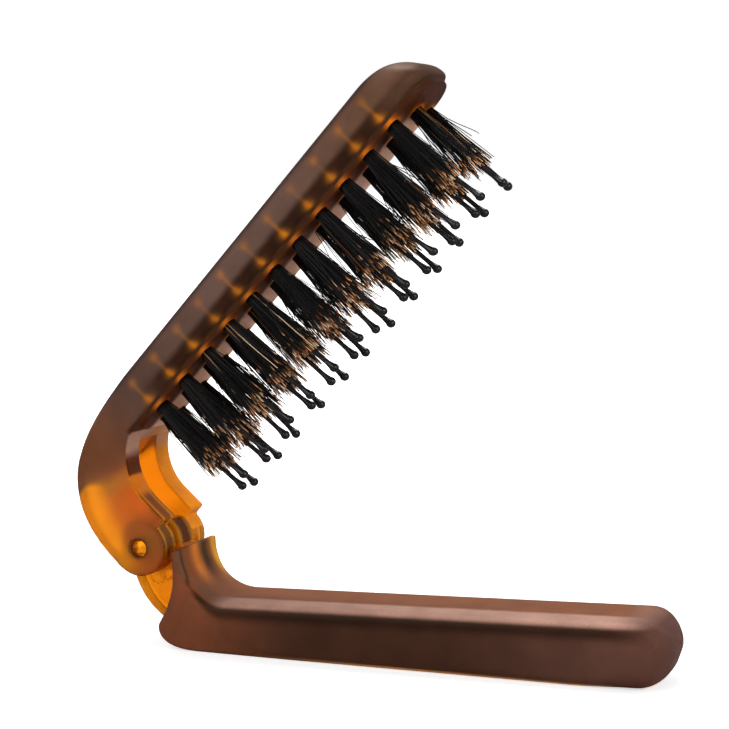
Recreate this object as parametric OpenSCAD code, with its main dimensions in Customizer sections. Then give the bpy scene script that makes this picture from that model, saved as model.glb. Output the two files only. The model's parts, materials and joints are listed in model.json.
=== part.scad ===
// Folding pocket hairbrush with a mirror.
// The tufted head folds over the handle on one hinge. The handle lies flat
// on its underside, which holds the mirror. X runs from the hinge to the free
// end of the handle, Y is the hinge axis, Z is up. The origin is the centre of
// the bottom face of the part's box.

/* [Both halves] */
// Width of the handle and of the head
brush_w = 20; // [18:0.5:24]

/* [Fold] */
// Angle between the head and the handle
fold_angle = 48.5; // [10:0.5:120]
// Height of the hinge axis above the underside
pivot_height = 20.2; // [19.5:0.1:24]
// Diameter of the hinge pin
pin_d = 3.4; // [2.6:0.1:4]
// Gap between the pin and the bore of the handle's barrel, on the radius
pin_running_gap = 0.06; // [0.03:0.01:0.1]
// Depth of the pin's ends below the faces of the ears
pin_end_depth = 0.8; // [0.3:0.1:1.5]
// Gap between the head's step and the handle's lip when the brush is shut
shut_gap = 0.15; // [0.1:0.05:0.4]

/* [Handle] */
// Distance from the hinge axis to the free end of the handle
handle_reach = 108.8; // [100:0.2:130]
// Thickness of the handle beside the neck
handle_t_neck = 10.2; // [9:0.1:11]
// Thickness of the handle at its free end
handle_t_end = 12.8; // [12.4:0.1:14]
// Radius of the handle's long upper edges
handle_edge_r = 2.7; // [1.5:0.1:3.5]
// Radius of the handle's long lower edges
handle_under_r = 1.5; // [1:0.1:2.5]
// Radius of the free end, seen from above
handle_end_r = 8.5; // [5:0.5:9]
// Radius of the free end's upper edge, seen from the side
end_side_r = 5.5; // [3:0.5:6]
// Radius of the free end's lower edge, seen from the side
end_under_r = 7; // [3:0.5:7]
// Distance from the hinge axis to the front face of the neck
neck_front = 8.2; // [7.8:0.1:9]
// Thickness of the lip at the top of the neck
lip_t = 1.1; // [0.8:0.1:1.6]
// Width of the tongue that carries the barrel
tongue_w = 6.6; // [5:0.1:6.8]
// Outer radius of the barrel round the hinge pin
barrel_r = 6.2; // [5.6:0.1:6.6]
// Thickness of the handle's outer wall
handle_wall = 2.2; // [1.6:0.1:3]

/* [Mirror] */
// Length of the mirror
mirror_l = 78; // [60:1:84]
// Width of the mirror
mirror_w = 13.6; // [10:0.2:14.4]
// Thickness of the mirror glass
mirror_t = 1.3; // [1:0.1:2]
// Corner radius of the mirror
mirror_r = 4; // [2:0.5:5]
// Depth of the mirror's face below the rim round it
mirror_depth = 0.4; // [0.2:0.1:0.8]
// Gap between the mirror's edge and its recess
mirror_gap = 0.15; // [0.1:0.05:0.3]
// Thickness of the adhesive pad behind the mirror
pad_t = 0.5; // [0.4:0.1:1]

/* [Head] */
// Distance from the hinge axis to the tip of the head
head_reach = 110.8; // [102:0.2:130]
// Distance from the hinge axis to the flat back, square to the tufts' face
back_z = 26; // [24.5:0.1:28]
// Distance from the hinge axis to the face that the tufts stand on
face_z = 16; // [15:0.1:17]
// Height of the raised face above the ledge round it
face_step = 1.2; // [0.6:0.1:1.6]
// Width of the ledge round the raised face
ledge_w = 1.4; // [0.8:0.1:1.8]
// Radius of the head's long back edges
head_edge_r = 3.4; // [2:0.1:4]
// Radius of the long edges beside the ledge
head_rim_r = 1.6; // [0.6:0.1:2]
// Radius of the tip, seen square to the tufts' face
tip_r = 7; // [4:0.5:8]
// Length over which the back falls away to the tip
tip_fall_l = 12; // [6:0.5:16]
// Outer radius of the ears round the hinge pin
ear_r = 5.7; // [5:0.1:6]
// Height of the throat's start above the hinge axis
throat_start = 5.4; // [4:0.1:7]
// Width of the slot between the two arms
slot_w = 7.2; // [7.2:0.1:8.6]
// Distance from the hinge axis to the closed end of the slot
slot_reach = 18.6; // [17.5:0.1:19.5]

/* [Tufts] */
// Number of rows of tufts across the head
tuft_rows = 12; // [8:1:12]
// Distance between the columns of tufts
column_gap = 6.6; // [6:0.1:6.8]
// Distance from the tip of the head to the first row
first_row = 8.9; // [7:0.1:10]
// Distance from the low end of the raised face to the last row
last_row = 3.5; // [3:0.1:5]
// How far the short column stands behind the other two
column_stagger = 3.5; // [3:0.1:4]
// Diameter of a tuft's hole
tuft_hole_d = 2.9; // [2.6:0.1:3.2]
// Depth of a tuft's hole
tuft_hole_depth = 7; // [5:0.5:7.5]
// Gap between a tuft and the wall of its hole
tuft_gap = 0.05; // [0.05:0.01:0.15]
// Height of the boar bristles above the face
bristle_h = 17; // [12:0.5:18]
// Diameter of a tuft where it opens out at its tips
bristle_tip_d = 4.6; // [3.2:0.1:5.2]
// Height of the nylon pins above the face
nylon_h = 22.7; // [18:0.1:23.5]
// Diameter of a nylon pin
nylon_d = 1; // [0.8:0.05:1.2]
// Diameter of the ball on a nylon pin
ball_d = 1.8; // [1.4:0.1:2]
// Thickness of the flat wire anchor in each hole
anchor_t = 0.4; // [0.3:0.05:0.6]
// Height of the flat wire anchor
anchor_h = 1.6; // [1:0.1:2]

/* [Hidden] */
row_count = max(2, round(tuft_rows));
function two_digits(n) = str(n < 10 ? "0" : "", n);
ROW_NODES = [for (i = [1 : row_count]) each [str("bristle_row_", two_digits(i)),
                                             str("nylon_row_", two_digits(i))]];

// Facets of round shapes: bores, swept curves and small parts.
$fn = 64;
curve_steps = 18;
small_fn = 32;
eps = 0.01;
// How far a rounded edge stands proud of the faces it joins, before it is cut.
edge_bite = 0.02;

// Hinge.
pin_seat_gap = 0.02;
pin_l = brush_w - 2 * pin_end_depth;
barrel_bore_d = pin_d + 2 * pin_running_gap;
ear_bore_d = pin_d + 2 * pin_seat_gap;

// Side curves. The throat of the head and the neck of the handle face each
// other when shut, so both start at neck_front.
neck_arc_r = pivot_height - handle_t_neck;
ledge_z = face_z + face_step;
throat_arc_r = ledge_z - throat_start;
lip_top = -shut_gap;
handle_foot = 4.1;
foot_height = 4.8;
foot_end = 13;
taper_start = neck_front + neck_arc_r;
top_slope = atan((handle_t_end - handle_t_neck) / (handle_reach - end_side_r - taper_start));

// Box of the whole part, for the origin.
back_curve_start = 26;
back_curve_k = 19.5;
ear_curve_k = 18;
ear_curve_end = 2;
box_left = min([for (p = back_curve()) rest_x(p)]);
box_right = handle_reach;
centre_x = (box_left + box_right) / 2;

// Raised face and its tufts, along the head.
face_start = 17;
face_end = head_reach - ledge_w - 1;
face_low_r = 4.5;
first_row_x = head_reach - first_row;
last_row_x = face_start + last_row;
tuft_pitch = (first_row_x - last_row_x) / (row_count - 1);
bristle_d = tuft_hole_d - 2 * tuft_gap;
nylon_gap = 0.08;
anchor_gap = 0.06;
anchor_floor = 0.1;

// Mirror and its recess, along the handle.
mirror_mid = (foot_end + handle_reach - handle_end_r) / 2 + 2;
pad_inset = 0.15;
pocket_inset = 2.4;
pocket_r = mirror_r - 1;

amber = [0.42, 0.2, 0.09];
amber_dark = [0.32, 0.15, 0.08];
bristle_black = [0.06, 0.055, 0.05];
nylon_black = [0.02, 0.02, 0.02];
steel = [0.7, 0.7, 0.72];
silver = [0.85, 0.88, 0.9];
foam_grey = [0.25, 0.25, 0.26];

// ---- helpers -------------------------------------------------------------

function bezier(p, steps = curve_steps) =
    [for (i = [0 : steps]) let (t = i / steps, s = 1 - t)
        s * s * s * p[0] + 3 * s * s * t * p[1] + 3 * s * t * t * p[2] + t * t * t * p[3]];

function arc(centre, r, from, to, steps = curve_steps) =
    [for (i = [0 : steps]) let (a = from + (to - from) * i / steps)
        centre + r * [cos(a), sin(a)]];

// Where a point of the head, given along and above the hinge axis, lies in X.
function rest_x(p) = p[0] * cos(fold_angle) - p[1] * sin(fold_angle);

// Back of the arms, from the flat back down to the ears.
function back_curve() = bezier([
    [back_curve_start, back_z],
    [back_curve_start - back_curve_k, back_z],
    [-ear_r, ear_curve_end + ear_curve_k],
    [-ear_r, ear_curve_end]]);

// Draws a side view, in X and Z, as a solid of the given width across Y.
module across(w) {
    rotate([90, 0, 0]) linear_extrude(w, center = true) children();
}

// Draws an end view, in Y and Z, as a solid from x0 to x1.
module along(x0, x1) {
    translate([x0, 0, 0]) rotate([90, 0, 90]) linear_extrude(x1 - x0) children();
}

module round_rect(l, w, r) {
    for (x = [-1, 1], y = [-1, 1])
        translate([x * (l / 2 - r), y * (w / 2 - r)]) circle(r);
    square([l - 2 * r, w], center = true);
    square([l, w - 2 * r], center = true);
}

// End view with two radii above and two below, from z0 up to z1.
module edge_section(w, z0, z1, r_low, r_high) {
    for (s = [-1, 1]) {
        translate([s * (w / 2 - r_low), z0 + r_low]) circle(r_low);
        translate([s * (w / 2 - r_high), z1 - r_high]) circle(r_high);
    }
    translate([-w / 2 + r_low, z0]) square([w - 2 * r_low, r_low]);
    translate([-w / 2 + r_high, z1 - r_high]) square([w - 2 * r_high, r_high]);
    translate([-w / 2, z0 + r_low]) square([w, z1 - z0 - r_low - r_high]);
}

// Places the handle's parts: the hinge axis at x = 0, the underside at z = 0.
module in_handle() {
    translate([-centre_x, 0, 0]) children();
}

// Places the head's parts: the hinge axis is the local origin, the head runs
// along X and its tufts point down.
module in_head() {
    translate([-centre_x, 0, pivot_height]) rotate([0, -fold_angle, 0]) children();
}

// ---- handle --------------------------------------------------------------

// End view of a bar with rounded upper edges. Its top is at z = 0.
module bar_section(depth, r) {
    for (s = [-1, 1]) translate([s * (brush_w / 2 - r), -r]) circle(r);
    translate([-brush_w / 2 + r, -r]) square([brush_w - 2 * r, r]);
    translate([-brush_w / 2, -depth]) square([brush_w, depth - r]);
}

// The neck: its front is part of a ring about an axis above the handle, and
// its back curves down from a thin lip to the foot.
module neck() {
    // The ring starts a little above the lip and ends just short of where its
    // arc would touch the bar, so that the two cross cleanly.
    ring_from = 175;
    ring_to = 270 + top_slope - 3.5;
    intersection() {
        across(brush_w + 2) polygon(concat(
            bezier([[neck_front - lip_t, pivot_height + lip_top],
                    [neck_front - 0.6, pivot_height - 8.7],
                    [handle_foot + 0.6, foot_height + 2.2],
                    [handle_foot, foot_height]]),
            bezier([[handle_foot, foot_height],
                    [handle_foot, foot_height * 0.36],
                    [handle_foot + 2.6, 0],
                    [foot_end, 0]]),
            [[taper_start + neck_arc_r, 0], [taper_start + neck_arc_r, pivot_height + lip_top]]));
        translate([taper_start, 0, pivot_height]) rotate([90, 0, 0])
            rotate([0, 0, ring_from]) rotate_extrude(angle = ring_to - ring_from)
                rotate(90) translate([0, -neck_arc_r]) bar_section(2 * pivot_height, handle_edge_r);
    }
}

// The bar of the handle, whose top rises to the free end. It starts inside
// the neck, and its edges are a little rounder than the neck's for that.
module bar() {
    bar_lap = 2;
    edge_r = handle_edge_r + 0.1;
    end_run = (handle_reach - end_side_r - taper_start - (neck_arc_r + end_side_r) * sin(top_slope))
        / cos(top_slope);
    end_centre = [taper_start, pivot_height + edge_bite]
        + (neck_arc_r + end_side_r) * [sin(top_slope), -cos(top_slope)]
        + end_run * [cos(top_slope), sin(top_slope)];
    intersection() {
        across(brush_w + 2) polygon(concat(
            [[neck_front, 0]],
            arc([handle_reach - end_under_r, end_under_r], end_under_r, -90, 0),
            arc(end_centre, end_side_r, 0, 90 + top_slope),
            [[neck_front, end_centre[1] + end_side_r]]));
        translate([taper_start, 0, pivot_height]) rotate([0, -top_slope, 0])
            translate([0, 0, -neck_arc_r])
                along(-bar_lap, handle_reach) bar_section(2 * handle_t_end, edge_r);
        linear_extrude(2 * pivot_height) end_plan();
    }
}

// Plan view of the free end, a little wider than the bar so that only its
// round corners cut.
module end_plan() {
    front = handle_reach - handle_end_r;
    side = brush_w / 2 - handle_end_r + edge_bite;
    for (s = [-1, 1]) translate([front, s * side]) circle(handle_end_r);
    translate([0, -side - handle_end_r]) square([front, 2 * (side + handle_end_r)]);
    translate([front, -side]) square([handle_end_r, 2 * side]);
}

// What is cut from a square edge at the local origin to round it.
module edge_cut(r) {
    difference() {
        translate([-r, -r]) square([r + 1, r + 1]);
        translate([-r + edge_bite, -r + edge_bite]) circle(r);
    }
}

module lower_edges() {
    for (s = [0, 1]) mirror([0, s, 0])
        translate([0, brush_w / 2, 0]) mirror([0, 0, 1])
            along(-1, handle_reach + 1) edge_cut(handle_under_r);
}

// Side view of the tongue. Its back is one arc from the barrel to the foot.
module tongue_side() {
    back_centre = [10.5, -2.3];
    back_r = 15.3;
    back_from = 181;
    back_to = 244;
    front = neck_front - lip_t / 2;
    polygon(concat(
        [[front, lip_top], [0, lip_top]],
        arc(back_centre, back_r, back_from, back_to),
        [[front, foot_height - pivot_height]]));
}

module barrel() {
    rotate([90, 0, 0]) cylinder(r = barrel_r, h = tongue_w, center = true);
}

module mirror_recess() {
    translate([mirror_mid, 0, -eps])
        linear_extrude(mirror_depth + mirror_t + pad_t + eps)
            round_rect(mirror_l + 2 * mirror_gap, mirror_w + 2 * mirror_gap, mirror_r + mirror_gap);
}

// Hollow behind the mirror, which keeps the moulding's walls even.
module pocket() {
    l = mirror_l - 2 * pocket_inset;
    w = mirror_w - 2 * pocket_inset;
    roof = handle_t_neck - handle_wall;
    translate([mirror_mid, 0, 0]) linear_extrude(roof) round_rect(l, w, pocket_r);
}

module handle_body() {
    color(amber) in_handle() difference() {
        union() {
            difference() {
                union() {
                    neck();
                    bar();
                }
                lower_edges();
            }
            translate([0, 0, pivot_height]) {
                across(tongue_w) tongue_side();
                barrel();
            }
        }
        translate([0, 0, pivot_height]) rotate([90, 0, 0])
            cylinder(d = barrel_bore_d, h = brush_w, center = true);
        mirror_recess();
        pocket();
    }
}

module mirror_glass() {
    color(silver) in_handle()
        translate([mirror_mid, 0, mirror_depth])
            linear_extrude(mirror_t) round_rect(mirror_l, mirror_w, mirror_r);
}

// A frame of double-sided foam on the shelf round the pocket.
module mirror_pad() {
    color(foam_grey) in_handle()
        translate([mirror_mid, 0, mirror_depth + mirror_t])
            linear_extrude(pad_t) difference() {
                round_rect(mirror_l - 2 * pad_inset, mirror_w - 2 * pad_inset, mirror_r);
                round_rect(mirror_l - 2 * pocket_inset, mirror_w - 2 * pocket_inset, pocket_r);
            }
}

// ---- head ----------------------------------------------------------------

module head_side() {
    rim_z = ledge_z + head_rim_r;
    polygon(concat(
        [[ear_r - eps, 0], [neck_front, 0]],
        arc([neck_front + throat_arc_r, throat_start], throat_arc_r, 180, 90),
        [[head_reach - head_rim_r, ledge_z]],
        arc([head_reach - head_rim_r, rim_z], head_rim_r, -90, 0, 6),
        bezier([[head_reach, rim_z],
                [head_reach, rim_z + 0.62 * (back_z - rim_z)],
                [head_reach - 0.45 * tip_fall_l, back_z],
                [head_reach - tip_fall_l, back_z]]),
        back_curve(),
        [[-ear_r, 0]]));
}

module head_plan(inset) {
    r = tip_r - inset;
    w = brush_w - 2 * inset;
    front = head_reach - inset - r;
    for (s = [-1, 1]) translate([front, s * (w / 2 - r)]) circle(r);
    translate([-2 * ear_r, -w / 2]) square([front + 2 * ear_r, w]);
    translate([front, -w / 2 + r]) square([r, w - 2 * r]);
}

// Rounds the long edges: the back ones all the way, the others past the throat.
module head_edges() {
    along(neck_front + throat_arc_r - eps, head_reach + 1)
        edge_section(brush_w, ledge_z, back_z, head_rim_r, head_edge_r);
    along(-2 * ear_r, neck_front + throat_arc_r)
        edge_section(brush_w, -2 * ear_r, back_z, eps, head_edge_r);
}

// The raised face that the tufts stand on.
module raised_face() {
    w = brush_w - 2 * ledge_w;
    r = tip_r - ledge_w;
    translate([0, 0, face_z]) linear_extrude(face_step + 1) {
        for (s = [-1, 1]) {
            translate([face_end - r, s * (w / 2 - r)]) circle(r);
            translate([face_start + face_low_r, s * (w / 2 - face_low_r)]) circle(face_low_r);
        }
        translate([face_start, -w / 2 + face_low_r])
            square([face_low_r, w - 2 * face_low_r]);
        translate([face_start + face_low_r, -w / 2])
            square([face_end - r - face_start - face_low_r, w]);
        translate([face_end - r, -w / 2 + r]) square([r, w - 2 * r]);
    }
}

// Slot for the handle's tongue, open to the front, the back and the ears.
module slot_side() {
    front = face_start - 0.7;
    circle(slot_reach);
    translate([0, -slot_reach]) square([front, slot_reach + face_z]);
    translate([-slot_reach, -slot_reach]) square([2 * slot_reach, slot_reach]);
}

// Places a tuft's parts at each tuft of a row, at the face, pointing down.
// Rows run from the tip. One outer column stands back, and has one tuft less.
module at_tufts(row) {
    for (column = [-1, 0, 1])
        if (column >= 0 || row < row_count - 1)
            translate([first_row_x - row * tuft_pitch - (column < 0 ? column_stagger : 0),
                       column * column_gap, face_z])
                children();
}

module head_body() {
    color(amber_dark) in_head() difference() {
        union() {
            intersection() {
                across(brush_w) head_side();
                translate([0, 0, -ear_r]) linear_extrude(back_z + 2 * ear_r) head_plan(0);
                head_edges();
            }
            rotate([90, 0, 0]) cylinder(r = ear_r, h = brush_w, center = true);
            raised_face();
        }
        across(slot_w) slot_side();
        rotate([90, 0, 0]) cylinder(d = ear_bore_d, h = brush_w + 1, center = true);
        for (row = [0 : row_count - 1]) at_tufts(row)
            translate([0, 0, -eps]) cylinder(d = tuft_hole_d, h = tuft_hole_depth + eps, $fn = small_fn);
    }
}

module hinge_pin() {
    chamfer = 0.3;
    color(amber) in_head() rotate([90, 0, 0]) {
        cylinder(d = pin_d, h = pin_l - 2 * chamfer, center = true);
        for (s = [0, 1]) mirror([0, 0, s])
            translate([0, 0, pin_l / 2 - chamfer])
                cylinder(r1 = pin_d / 2, r2 = pin_d / 2 - chamfer, h = chamfer);
    }
}

// ---- tufts ---------------------------------------------------------------

// One tuft of boar bristles: it fills its hole, opens out above the face and
// is folded over the flat wire anchor at its foot.
module bristle_tuft() {
    foot = tuft_hole_depth - anchor_floor - anchor_h / 2;
    difference() {
        rotate_extrude($fn = small_fn) polygon([
            [nylon_d / 2 + nylon_gap, -bristle_h + 0.4],
            [bristle_tip_d / 2 - 0.5, -bristle_h],
            [bristle_tip_d / 2, -bristle_h + 1.2],
            [bristle_d / 2 + 0.25, -bristle_h * 0.3],
            [bristle_d / 2, 0],
            [bristle_d / 2, foot],
            [nylon_d / 2 + nylon_gap, foot]]);
        translate([0, 0, foot])
            cube([anchor_t + 2 * anchor_gap, 2 * bristle_d, anchor_h + 2 * anchor_gap], center = true);
    }
}

module nylon_pin() {
    foot = tuft_hole_depth - anchor_floor - anchor_h - anchor_gap;
    ball_z = -nylon_h + ball_d / 2;
    rotate_extrude($fn = small_fn) difference() {
        union() {
            translate([0, ball_z]) circle(d = ball_d, $fn = small_fn);
            translate([0, ball_z]) square([nylon_d / 2, foot - ball_z]);
        }
        translate([-ball_d, ball_z - ball_d]) square([ball_d, 2 * ball_d]);
    }
}

module anchor() {
    l = tuft_hole_d - 2 * anchor_gap;
    translate([0, 0, tuft_hole_depth - anchor_floor - anchor_h / 2])
        cube([anchor_t, l, anchor_h], center = true);
}

module bristle_row(row) {
    color(bristle_black) in_head() at_tufts(row) bristle_tuft();
}

module nylon_row(row) {
    color(nylon_black) in_head() at_tufts(row) nylon_pin();
}

module tuft_anchors() {
    color(steel) in_head() for (row = [0 : row_count - 1]) at_tufts(row) anchor();
}

// ---- assembly ------------------------------------------------------------

handle_body();
mirror_glass();  // mirror
mirror_pad();
head_body();
hinge_pin();
tuft_anchors();
for (i = [1 : row_count])
    bristle_row(i - 1);
for (i = [1 : row_count])
    nylon_row(i - 1);
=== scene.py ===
# Dresses the folding pocket hairbrush: two moulded shells of amber polymer, tufts of
# boar bristle with ball pins, the hinge pin, the mirror, and a pale studio round them.

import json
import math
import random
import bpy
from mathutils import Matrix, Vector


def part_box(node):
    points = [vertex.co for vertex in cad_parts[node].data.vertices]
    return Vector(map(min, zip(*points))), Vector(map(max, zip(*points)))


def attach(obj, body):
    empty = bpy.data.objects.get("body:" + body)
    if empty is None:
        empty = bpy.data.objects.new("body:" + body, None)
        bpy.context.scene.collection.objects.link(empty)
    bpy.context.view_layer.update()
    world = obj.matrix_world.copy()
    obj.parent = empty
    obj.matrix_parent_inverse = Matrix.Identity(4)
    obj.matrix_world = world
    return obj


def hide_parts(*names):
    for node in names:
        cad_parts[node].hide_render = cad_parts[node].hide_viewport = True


bl_info = {
    "name": "Folding Pocket Hairbrush",
    "version": (1, 0, 0),
    "blender": (4, 5, 0),
    "location": "View3D > Sidebar > Hairbrush",
    "description": "Builds the shells, tufts, pins and finishes of a folding pocket hairbrush",
    "category": "Object",
}

import bpy
import numpy as np
from bpy.props import FloatProperty, FloatVectorProperty, IntProperty, PointerProperty
from mathutils import Matrix, Vector

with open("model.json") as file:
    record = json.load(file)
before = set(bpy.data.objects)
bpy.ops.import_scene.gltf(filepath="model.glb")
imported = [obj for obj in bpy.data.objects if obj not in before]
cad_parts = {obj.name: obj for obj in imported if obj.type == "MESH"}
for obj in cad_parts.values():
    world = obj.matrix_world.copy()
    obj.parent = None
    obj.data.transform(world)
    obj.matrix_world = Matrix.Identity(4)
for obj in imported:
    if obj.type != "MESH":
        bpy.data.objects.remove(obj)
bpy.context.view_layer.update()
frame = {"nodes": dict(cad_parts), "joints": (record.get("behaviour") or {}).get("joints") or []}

MM = 0.001
HINGE = frame["joints"][0]
PIVOT = Vector(HINGE["pos_m"])
FOLD_ANGLE = math.radians(-HINGE["range_deg"][0])
ROWS = sorted(name for name in frame["nodes"] if name.startswith("nylon_row_"))

# The head's own frame has its origin on the hinge axis, X towards the tip of the head
# and Z away from the tufts. The handle's has its origin below the hinge axis, on the
# underside.
HEAD_FRAME = Matrix.Translation(PIVOT) @ Matrix.Rotation(-FOLD_ANGLE, 4, "Y")
HANDLE_FRAME = Matrix.Translation(Vector((PIVOT.x, 0.0, 0.0)))

# Sizes of the mouldings, in millimetres.
HINGE_Z = PIVOT.z / MM
HANDLE_REACH = (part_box("handle_body")[1].x - PIVOT.x) / MM
HEAD_REACH = 110.8
HALF_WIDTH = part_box("handle_body")[1].y / MM
FLAT_HALF = 9.75
NECK_FRONT = 8.2
HANDLE_NECK_T = 10.2
HANDLE_END_T = 12.8
NECK_R = HINGE_Z - HANDLE_NECK_T
LIP_T = 1.1
FOOT_Z = 4.8
SHUT_GAP = 0.15
FACE_Z = 16.0
LEDGE_Z = FACE_Z + 1.2
BACK_Z = 26.0
THROAT_Z = 5.4
EAR_R = 5.7
BARREL_R = 6.2
PIN_R = 1.7
PRESS_GAP = 0.03
RUNNING_GAP = 0.06
SLOT_HALF = 3.6
SLOT_R = 18.6
SLOT_END = 16.3
TONGUE_HALF = 3.3
TUFT_HOLE_R = 1.45
TUFT_HOLE_DEPTH = 7.0
COLUMN_GAP = 6.6
MIRROR_GAP = 0.15
MIRROR_CORNER_R = 4.0
PAD_RIM = 2.4
POCKET_CORNER_R = 3.0
POCKET_ROOF_T = 2.2
BEYOND = 30.0

# The block of points that each moulding is worked out on, a little larger than it.
HEAD_BLOCK = ((-7.0, -10.8, -6.6), (111.2, 10.8, 27.0))
HANDLE_BLOCK = ((-6.0, -10.8, -0.7), (111.0, 10.8, 25.0))

# Colours of the head's points, as linear red, green and blue.
BAR_BY_ARMS = (0.17, 0.06, 0.024)
BAR_LOW = (0.108, 0.058, 0.042)
BAR_MIDDLE = (0.15, 0.086, 0.066)
BAR_HIGH = (0.14, 0.066, 0.038)
BAR_TIP = (0.16, 0.085, 0.058)
BAR_SHADE = (0.024, 0.008, 0.003)
# Painted shade along the back edge of the bar.
BAR_EDGE_SHADE = (0.04, 0.018, 0.014)
# Painted shade on the ledge between the bar's side and its face.
LEDGE_SHADE = (0.055, 0.02, 0.007)
# Painted shade on the face of the bar, where the painted light does not reach.
FACE_SHADE = (0.06, 0.014, 0.002)
FACE_LIT = (1.0, 0.54, 0.36)
# Painted glow of light round the root of each tuft.
TUFT_COLLAR_GLOW = (0.9, 0.21, 0.0)
TUFT_GLOW = (0.75, 0.22, 0.004)
# Painted glow of light towards the backs of the arms.
ARM_BACK_GLOW = (1.0, 0.36, 0.0)
ARM_INSIDE = (0.42, 0.15, 0.016)
# Painted shade on the middle of the ears.
EAR_SHADE = (0.36, 0.11, 0.015)
# Painted shade on the ears' rims.
EAR_RIM_SHADE = (0.12, 0.04, 0.012)
# Painted shade round the bore, and deeper shade inside it.
BORE_EDGE_SHADE = (0.14, 0.05, 0.02)
BORE_SHADE = (0.07, 0.022, 0.002)
STEP = (0.2, 0.06, 0.004)
THROAT_LOW = (0.85, 0.22, 0.0)
# Painted lines of reflected light on the throat's lower faces.
THROAT_LIGHT_LINES = (0.85, 0.32, 0.01)
# Painted band of shade across the throat.
THROAT_SHADE = (0.12, 0.022, 0.0)
# Far side of the throat painted brighter, as if lit through from behind.
THROAT_FAR_LIT = (0.95, 0.30, 0.0)
# Painted pale reflection at the top of the throat.
THROAT_TOP_REFLECTION = (0.5, 0.27, 0.18)

# Colours of the handle's points.
NECK_SIDE = (0.2, 0.06, 0.025)
HANDLE_MIDDLE = (0.068, 0.024, 0.013)
HANDLE_END = (0.12, 0.048, 0.034)
HANDLE_SHADE = (0.022, 0.007, 0.003)
# Painted highlight along the top edge of the handle.
TOP_HIGHLIGHT = (0.5, 0.27, 0.2)
# The same painted highlight, duller, near the neck.
NECK_HIGHLIGHT = (0.19, 0.075, 0.03)
# Far part of the top face painted lighter, as if lit from above.
TOP_FACE_LIT = (0.25, 0.08, 0.03)
NECK_FACE = (0.24, 0.065, 0.008)
# Painted orange glow of light through the front of the neck.
NECK_ORANGE_GLOW = (0.62, 0.17, 0.0)
# Painted shade on the front of the neck.
NECK_SHADE = (0.06, 0.026, 0.005)
# Painted yellow glow of light at the far side of the neck's front.
NECK_YELLOW_GLOW = (0.7, 0.3, 0.005)
# Painted line of shade along the neck's near edge.
NECK_EDGE_SHADE = (0.03, 0.009, 0.003)
TONGUE = (1.0, 0.44, 0.0)
BARREL = (0.75, 0.28, 0.0)
# Painted shade across the middle of the barrel.
BARREL_SHADE = (0.085, 0.026, 0.003)
# Painted highlight line along the barrel.
BARREL_HIGHLIGHT = (0.8, 0.3, 0.0)
EJECTOR_MARK = (0.2, 0.07, 0.0)
# Painted glow of light along the rim of the underside.
UNDER_RIM_GLOW = (1.0, 0.42, 0.12)


# ---- outlines and fields ----
# A field is a signed distance, negative inside the plastic. The shells are worked
# out as fields on a grid, which keeps every edge as softly rounded as a moulding's.


def bezier(p0, p1, p2, p3, steps=32):
    """Points of a cubic curve from p0 to p3."""
    t = np.linspace(0.0, 1.0, steps + 1)[:, None]
    u = 1 - t
    p0, p1, p2, p3 = (np.array(p, float) for p in (p0, p1, p2, p3))
    return u ** 3 * p0 + 3 * u ** 2 * t * p1 + 3 * u * t * t * p2 + t ** 3 * p3


def arc(centre, radius, start, end, steps=32):
    """Points of an arc, with its angles in degrees."""
    a = np.radians(np.linspace(start, end, steps + 1))
    return np.array(centre) + radius * np.stack([np.cos(a), np.sin(a)], axis=1)


def outline_field(points, a, b):
    """Signed distance of the plane points (a, b) to a closed outline."""
    a, b = np.broadcast_arrays(a, b)
    nearest = np.full(a.shape, 1e9)
    inside = np.zeros(a.shape, bool)
    for (x0, y0), (x1, y1) in zip(points, np.roll(points, -1, axis=0)):
        ex, ey = x1 - x0, y1 - y0
        length = ex * ex + ey * ey
        if length < 1e-12:
            continue
        t = np.clip(((a - x0) * ex + (b - y0) * ey) / length, 0.0, 1.0)
        nearest = np.minimum(nearest, (a - x0 - t * ex) ** 2 + (b - y0 - t * ey) ** 2)
        if ey != 0:
            spans = ((b >= y0) & (b < y1)) | ((b >= y1) & (b < y0))
            inside ^= spans & (a < x0 + (b - y0) * ex / ey)
    return np.where(inside, -1.0, 1.0) * np.sqrt(nearest)


def meet(f, g, r):
    """What both fields hold, with the edge between them rounded to radius r."""
    u = np.maximum(f + r, 0.0)
    v = np.maximum(g + r, 0.0)
    return np.minimum(np.maximum(f, g), -r) + np.sqrt(u * u + v * v)


def join(f, g, r):
    """What either field holds, with a fillet of radius r."""
    return -meet(-f, -g, r)


def cut(f, g, r):
    """What f holds and g does not, with the edge rounded to radius r."""
    return meet(f, -g, r)


def ramp(value, low, high):
    """A smooth step from 0 at low to 1 at high."""
    t = np.clip((value - low) / (high - low), 0.0, 1.0)
    return t * t * (3 - 2 * t)


def within(y, half, soft):
    """1 nearer to the middle than half the width, fading to 0 over the last of it."""
    return ramp(half - np.abs(y), 0.0, soft)


def spot(a, b, width):
    """A soft round spot, 1 in the middle, from two distances."""
    return np.exp(-(a * a + b * b) / (width * width))


def plank(x, y, x0, x1, half, r0, r1):
    """Plan view of a plank from x0 to x1, with corner radii r0 and r1."""
    mid = (x0 + x1) / 2
    r = np.where(x < mid, r0, r1)
    u = np.abs(x - mid) - (x1 - x0) / 2 + r
    v = np.abs(y) - half + r
    outside = np.hypot(np.maximum(u, 0.0), np.maximum(v, 0.0))
    return np.minimum(np.maximum(u, v), 0.0) + outside - r


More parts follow.
